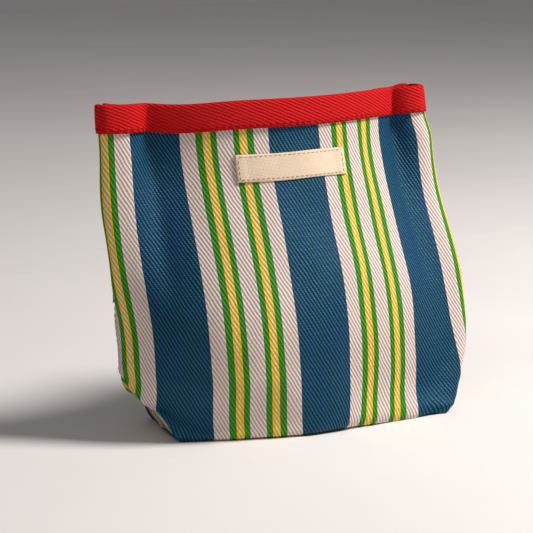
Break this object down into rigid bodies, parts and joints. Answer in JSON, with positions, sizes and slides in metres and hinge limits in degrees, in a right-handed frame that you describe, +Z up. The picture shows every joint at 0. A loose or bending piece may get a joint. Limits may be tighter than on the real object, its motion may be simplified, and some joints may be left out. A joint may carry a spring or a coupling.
{
  "type": "zip pouch",
  "caption": "Boxed-bottom zip pouch of striped woven plastic, with a webbing binding round the mouth and a sewn cloth label.",
  "frame": {"origin": "middle of the pouch's outline, on the surface that the pouch stands on", "axes": "+Z up, +X along the zip towards its closed end, -Y the labelled front"},
  "size_m": [0.2199, 0.0809, 0.176],
  "materials": {
    "woven_stripe": "matte",
    "webbing": "matte",
    "red_thread": "matte",
    "zip_tape": "matte",
    "zip_coil": "satin",
    "zip_metal": "satin",
    "label_cloth": "matte",
    "label_thread": "matte",
    "care_label": "matte",
    "seam_tape": "matte"
  },
  "bodies": {
    "pouch": {"front_panel": "woven_stripe", "back_panel": "woven_stripe", "front_binding": "webbing", "back_binding": "webbing", "front_binding_thread": "red_thread", "back_binding_thread": "red_thread", "front_zip_tape": "zip_tape", "back_zip_tape": "zip_tape", "front_zip_coil": "zip_coil", "back_zip_coil": "zip_coil", "zip_top_stops": "zip_metal", "zip_bottom_stop": "zip_metal", "front_label": "label_cloth", "front_label_thread": "label_thread", "side_label": "care_label", "side_seam_tape_left": "seam_tape", "side_seam_tape_right": "seam_tape", "base_seam_tape": "seam_tape", "corner_seam_tape_left": "seam_tape", "corner_seam_tape_right": "seam_tape"},
    "slider": {"slider_body": "zip_metal"},
    "puller": {"zip_puller": "zip_metal"}
  },
  "joints": [
    {"name": "zip_run", "type": "hinge", "parent": "pouch", "child": "slider", "pos_m": [-0.01408, 0.12907, 0.1635], "axis": [0, 0, 1], "range_deg": [-51.1, 0]},
    {"name": "puller_flip", "type": "hinge", "parent": "slider", "child": "puller", "pos_m": [0.05403, 0.016, 0.16795], "axis": [-0.516, 0.8566, 0], "range_deg": [0, 165]}
  ]
}
